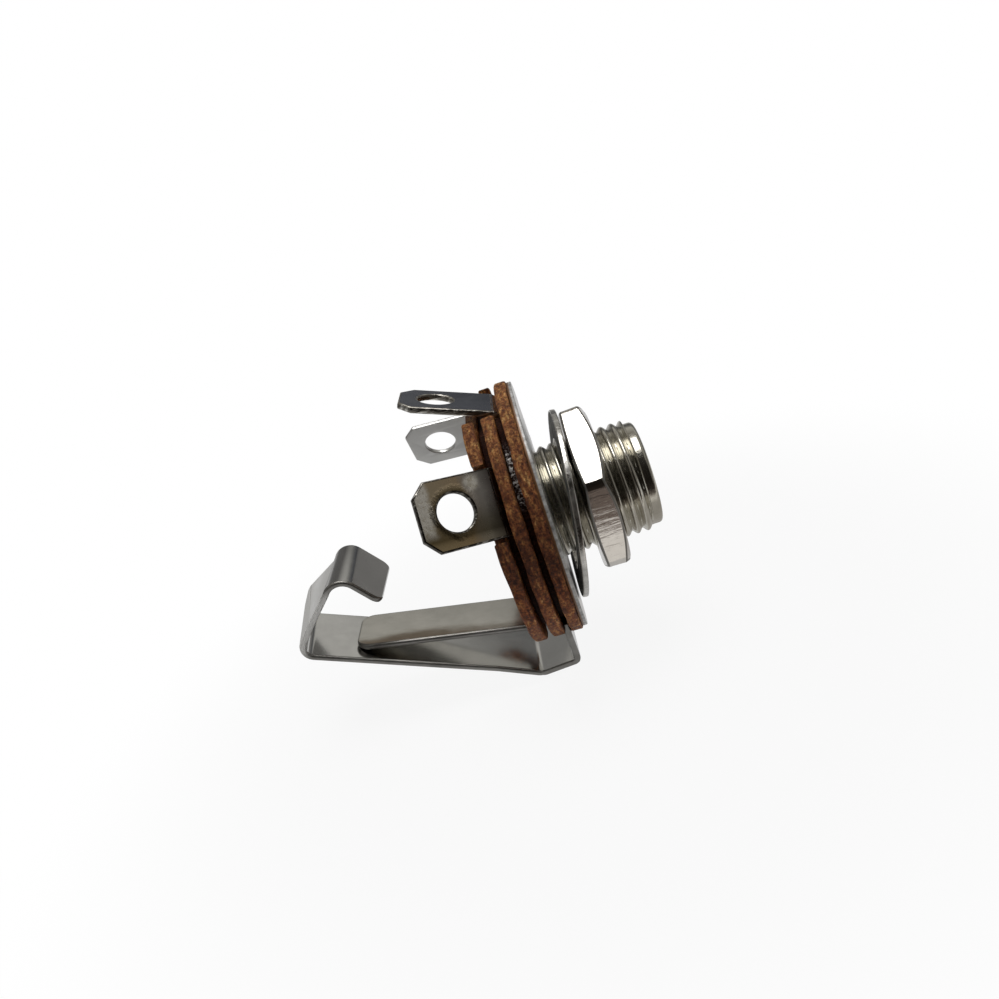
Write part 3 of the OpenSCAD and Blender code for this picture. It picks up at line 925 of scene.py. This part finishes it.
def burnished_rim(name):
    """The sawn and rubbed rim of the plate, browner on its half towards the insulator behind it."""
    nodes = Nodes(name)
    metal = nodes.ramp(nodes.noise(1500, 5.0, 0.7, (0.5, 1, 1)),
                       [(0.35, (0.16, 0.157, 0.15)), (0.62, (0.56, 0.55, 0.53))])
    towards_insulator = nodes.reach(nodes.axes(nodes.place)["X"], -0.17, -0.27)
    nodes.shade(Base_Color=nodes.mix(towards_insulator, metal, (0.15, 0.07, 0.028, 1)), Metallic=0.3, Roughness=0.4)
    nodes.scratches(0.3)
    return nodes.material


def shaded_back_steel(name):
    """Painted shade on the back of a stamping: dull and dark, with a faint mottle."""
    nodes = Nodes(name)
    tone = nodes.ramp(nodes.noise(900, 5.0, 0.6), [(0.35, (0.07, 0.068, 0.065)), (0.65, (0.19, 0.187, 0.18))])
    nodes.shade(Base_Color=tone, Roughness=0.6, Specular_IOR_Level=0.15)
    nodes.scratches(0.2)
    return nodes.material


def sheared_edge(name, dark, light):
    """The torn edge of punched sheet, streaked across its thickness, with a few bright burrs. Its two tones
    are painted light: one copy is lit, one shaded.
    """
    nodes = Nodes(name)
    burrs = nodes.noise(3600, 3.0, 0.5, (0.3, 1, 1))
    nodes.shade(Base_Color=nodes.ramp(burrs, [(0.5, dark), (0.72, light)]), Metallic=1.0, Roughness=0.3)
    nodes.bump(burrs, 0.8, 0.1)
    return nodes.material


# Dark plating for rounded edges: painted shade
EDGE_SHADE_TONES = (0.16, 0.153, 0.142), (0.27, 0.262, 0.245)
# Plating by finish: material, dark and light tone, roughness range, the scratches' stretch and relief,
# painted shade
PLATING = {
    "turned": ("turned_nickel", (0.43, 0.407, 0.35), (0.57, 0.548, 0.485), (0.14, 0.28), (0.25, 1, 1), 0.3),
    "milled": ("milled_nickel", (0.56, 0.53, 0.49), (0.64, 0.61, 0.57), (0.06, 0.13), (0.12, 1, 1), 0.45),
    "polished": ("polished_nickel", (0.55, 0.54, 0.52), (0.62, 0.61, 0.59), (0.03, 0.07), EVEN, 0.0),
    "plate": ("plate_nickel", (0.74, 0.735, 0.715), (0.84, 0.835, 0.815), (0.26, 0.36), EVEN, 0.08),
    "dull": ("dull_nickel", (0.5, 0.495, 0.48), (0.55, 0.545, 0.53), (0.34, 0.42), EVEN, 0.05),
    # The tip spring's plating, with painted shade across its crest
    "satin": ("satin_nickel", (0.58, 0.575, 0.555), (0.64, 0.635, 0.615), (0.13, 0.19), EVEN, 0.03,
              crest_painted_shade),
    "slate": ("slate_nickel", (0.54, 0.55, 0.58), (0.64, 0.65, 0.68), (0.1, 0.17), EVEN, 0.08),
    # The switch blade's plating, with painted shade along its near edge
    "blade": ("blade_nickel", (0.52, 0.505, 0.46), (0.6, 0.58, 0.53), (0.16, 0.22), EVEN, 0.03,
              blade_painted_shade),
    "rolled_rim": ("rolled_rim", (0.3, 0.29, 0.27), (0.74, 0.72, 0.68), (0.14, 0.4), EVEN, 0.6),
    # Rounded edges in the dark plating, which is painted shade
    "shade_painted_edge": ("shade_painted_edge", *EDGE_SHADE_TONES, (0.36, 0.46), EVEN, 0.1),
}


def make_materials():
    """Every finish by its name."""
    plating = {finish: plated_metal(*looks) for finish, looks in PLATING.items()}
    return plating | {
        # The near lug's plating, with light and shade painted on
        "punched": stamped_lug_metal("painted_light_nickel"),
        "burnished": burnished_rim("burnished_rim"),
        # The washer's back, in painted shade
        "shaded_back": shaded_back_steel("shaded_back_steel"),
        # The spring's edge, with painted light and shade
        "spring_edge": spring_edge("spring_edge"),
        # Lit and shaded copies of one edge: painted highlight on the tip lug's edges, painted shade on the
        # switch lug's
        "lit_edge": sheared_edge("lit_edge", (0.24, 0.225, 0.2), (0.9, 0.88, 0.82)),
        "shaded_edge": sheared_edge("shaded_edge", (0.06, 0.054, 0.046), (0.42, 0.4, 0.36)),
        # The rings' edges, with painted shade and painted glints
        "glinting": ring_edge("glinting_ring", (3.4, 4.6, 7.8, 6.6)),
        "shaded": ring_edge("shaded_ring", (9.5, 10.0, 12.0, 11.0)),
        "paper": laminate("paper_laminate"),
    }


def dress(piece, body, node):
    """Hides the CAD node that a piece stands for, and ties the piece to the body that carries it, if any."""
    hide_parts(node)
    if body:
        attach(piece, body)


def build_pieces():
    """One dressed piece for each CAD node. The tip spring is tied to no body."""
    materials = make_materials()
    hole_r = TUBE_OUT_R + FIT
    rigid = {
        "bushing": (bushing(), "socket", "plated_bushing"),
        "sleeve_contact": (sleeve_contact(), "socket", "plated_contact"),
        "front_insulator": (insulator(FRONT_INSULATOR_X, hole_r, False, False), "socket", "laminate"),
        "middle_insulator": (insulator(MIDDLE_INSULATOR_X, hole_r, True, False), "socket", "laminate"),
        "rear_insulator": (insulator(REAR_INSULATOR_X, TAIL_R + FIT, True, True), "socket", "laminate"),
        "switch_contact": (switch_contact(), "socket", "plated_contact"),
        "insulating_tube": (insulating_tube(), "socket", "laminate"),
        "flat_washer": (flat_washer(), "washer", "plated_fastener"),
        "hex_nut": (hex_nut(), "nut", "plated_fastener"),
    }
    for node, (parts, body, slot) in rigid.items():
        dress(mesh_piece(f"{node}_look", parts, materials), body, node)
    spring = mesh_piece("tip_contact_look", tip_contact(), materials)
    dress(spring, None, "tip_contact")
    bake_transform(spring)


# ---- stage ----

def camera_axes():
    """The photograph camera's right, up and back directions."""
    a, e, r = (math.radians(v) for v in (CAMERA_AZIMUTH, CAMERA_ELEVATION, CAMERA_ROLL))
    back = Vector((math.sin(a) * math.cos(e), -math.cos(a) * math.cos(e), math.sin(e)))
    level = Vector((math.cos(a), math.sin(a), 0))
    plumb = back.cross(level)
    right = math.cos(r) * level - math.sin(r) * plumb
    up = math.sin(r) * level + math.cos(r) * plumb
    return right, up, back


def add_camera():
    """The photograph's camera."""
    right, up, back = camera_axes()
    data = bpy.data.cameras.new("photo_camera")
    data.sensor_width = SENSOR_MM
    data.lens = SENSOR_MM * CAMERA_FOCAL_PX / IMAGE_PX
    data.clip_start = MM
    camera = bpy.data.objects.new("photo_camera", data)
    bpy.context.scene.collection.objects.link(camera)
    spot = (Vector(CAMERA_TARGET) + back * CAMERA_DISTANCE) * MM
    axes = Matrix((right, up, back)).transposed()
    camera.matrix_world = Matrix.Translation(spot) @ axes.to_4x4()
    bpy.context.scene.camera = camera


def shown_rays(tree):
    """1 for rays that show a surface as it looks: camera, glossy and transmission rays."""
    path = tree.nodes.new("ShaderNodeLightPath")
    total = path.outputs["Is Camera Ray"]
    for name in ("Is Glossy Ray", "Is Transmission Ray"):
        add = tree.nodes.new("ShaderNodeMath")
        add.operation = "MAXIMUM"
        tree.links.new(total, add.inputs[0])
        tree.links.new(path.outputs[name], add.inputs[1])
        total = add.outputs[0]
    return total


def bright_when(tree, ray, otherwise, socket):
    """Full strength for one kind of ray, and another strength for the rest."""
    strength = tree.nodes.new("ShaderNodeMapRange")
    strength.inputs["To Min"].default_value = otherwise
    strength.inputs["To Max"].default_value = 1.0
    tree.links.new(ray, strength.inputs["Value"])
    tree.links.new(strength.outputs["Result"], socket)


def stage_mesh(name, corners, faces=None):
    """Part of the studio from corners in millimetres, as one face unless several are given."""
    mesh = bpy.data.meshes.new(name)
    mesh.from_pydata([Vector(c) * MM for c in corners], [], faces or [list(range(len(corners)))])
    obj = bpy.data.objects.new(name, mesh)
    bpy.context.scene.collection.objects.link(obj)
    return obj


def add_floor(level):
    """A white floor that keeps a soft shadow under the part and is plain white further off."""
    far = FLOOR_REACH
    corners = ((-far, -far), (far, -far), (far, far), (-far, far))
    floor = stage_mesh("floor", [(x, y, level) for x, y in corners])
    nodes = Nodes("white_floor")
    diffuse = nodes.add("ShaderNodeBsdfDiffuse", Color=(*grey(FLOOR_COLOUR), 1))
    glow = nodes.add("ShaderNodeEmission")
    camera_ray = nodes.add("ShaderNodeLightPath").outputs["Is Camera Ray"]
    bright_when(nodes.tree, camera_ray, FLOOR_IN_REFLECTIONS, glow.inputs["Strength"])
    share = nodes.reach(nodes.distance(nodes.place, (0, 0, 0)), *FLOOR_FADE, FLOOR_WHITE)
    surface = nodes.add("ShaderNodeMixShader")
    nodes.link(nodes.math("MULTIPLY", shown_rays(nodes.tree), share), surface.inputs[0])
    nodes.link(diffuse.outputs[0], surface.inputs[1])
    nodes.link(glow.outputs[0], surface.inputs[2])
    nodes.show(surface.outputs[0])
    floor.data.materials.append(nodes.material)


def add_world():
    """A white room that looks brighter than it lights."""
    world = bpy.data.worlds.new("studio")
    bpy.context.scene.world = world
    world.use_nodes = True
    tree = world.node_tree
    background = tree.nodes["Background"]
    background.inputs["Color"].default_value = (1, 1, 1, 1)
    bright_when(tree, shown_rays(tree), ROOM_LIGHT, background.inputs["Strength"])


def add_card(name, corners, stops, faces=None):
    """A studio card that is seen only in reflections, with a glow that changes with its own height."""
    card = stage_mesh(name, corners, faces)
    card.visible_camera = False
    card.visible_diffuse = False
    card.visible_shadow = False
    card.visible_transmission = False
    nodes = Nodes(f"{name}_tone")
    glow = nodes.add("ShaderNodeEmission")
    nodes.link(nodes.ramp(nodes.axes(nodes.coordinates["Generated"])["Z"], stops), glow.inputs["Color"])
    nodes.show(glow.outputs[0])
    card.data.materials.append(nodes.material)


def flat(tone):
    """The stops of a card of one tone."""
    return [(0.0, tone), (1.0, tone)]


def add_surround(level):
    """Cards that the plating reflects: a grey room round the part and a dark screen on the camera's side."""
    count, top = ROOM_SIDES, level + ROOM_HEIGHT
    wall = circle_points(ROOM_RADIUS, count)
    sides = [[2 * i, 2 * ((i + 1) % count), 2 * ((i + 1) % count) + 1, 2 * i + 1] for i in range(count)]
    add_card("room", [(x, y, z) for x, y in wall for z in (level, top)], ROOM_TONES, sides)
    add_card("ceiling", [(x, y, top) for x, y in wall], flat(CEILING_TONE))
    feet = [(x, y, level) for x, y, _ in (DARK_SCREEN[-1], DARK_SCREEN[0])]
    add_card("dark_screen", feet + DARK_SCREEN, flat(DARK_SCREEN_TONE))
    for name, (outline, tone) in FLOOR_CARDS.items():
        add_card(name, [(x, y, level + CARD_LIFT) for x, y in outline], flat(tone))
    for name, (start, end, heights, tone) in WALL_CARDS.items():
        low, high = (level + height for height in heights)
        add_card(name, [(*start, low), (*end, low), (*end, high), (*start, high)], flat(tone))


def add_overhead():
    """One soft square lamp straight above the part."""
    data = bpy.data.lights.new("overhead", "AREA")
    data.size = OVERHEAD_SIZE * MM
    data.energy = OVERHEAD_POWER
    lamp = bpy.data.objects.new("overhead", data)
    bpy.context.scene.collection.objects.link(lamp)
    lamp.location.z = OVERHEAD_HEIGHT * MM


def build_stage():
    """The photograph's camera and a small white studio."""
    foot = CAD_BOX[0].z / MM
    add_camera()
    add_floor(foot - SPRING_SWING)
    add_world()
    add_surround(foot - SURROUND_DROP)
    add_overhead()
    bpy.context.scene.view_settings.view_transform = "Standard"


build_stage()
build_pieces()
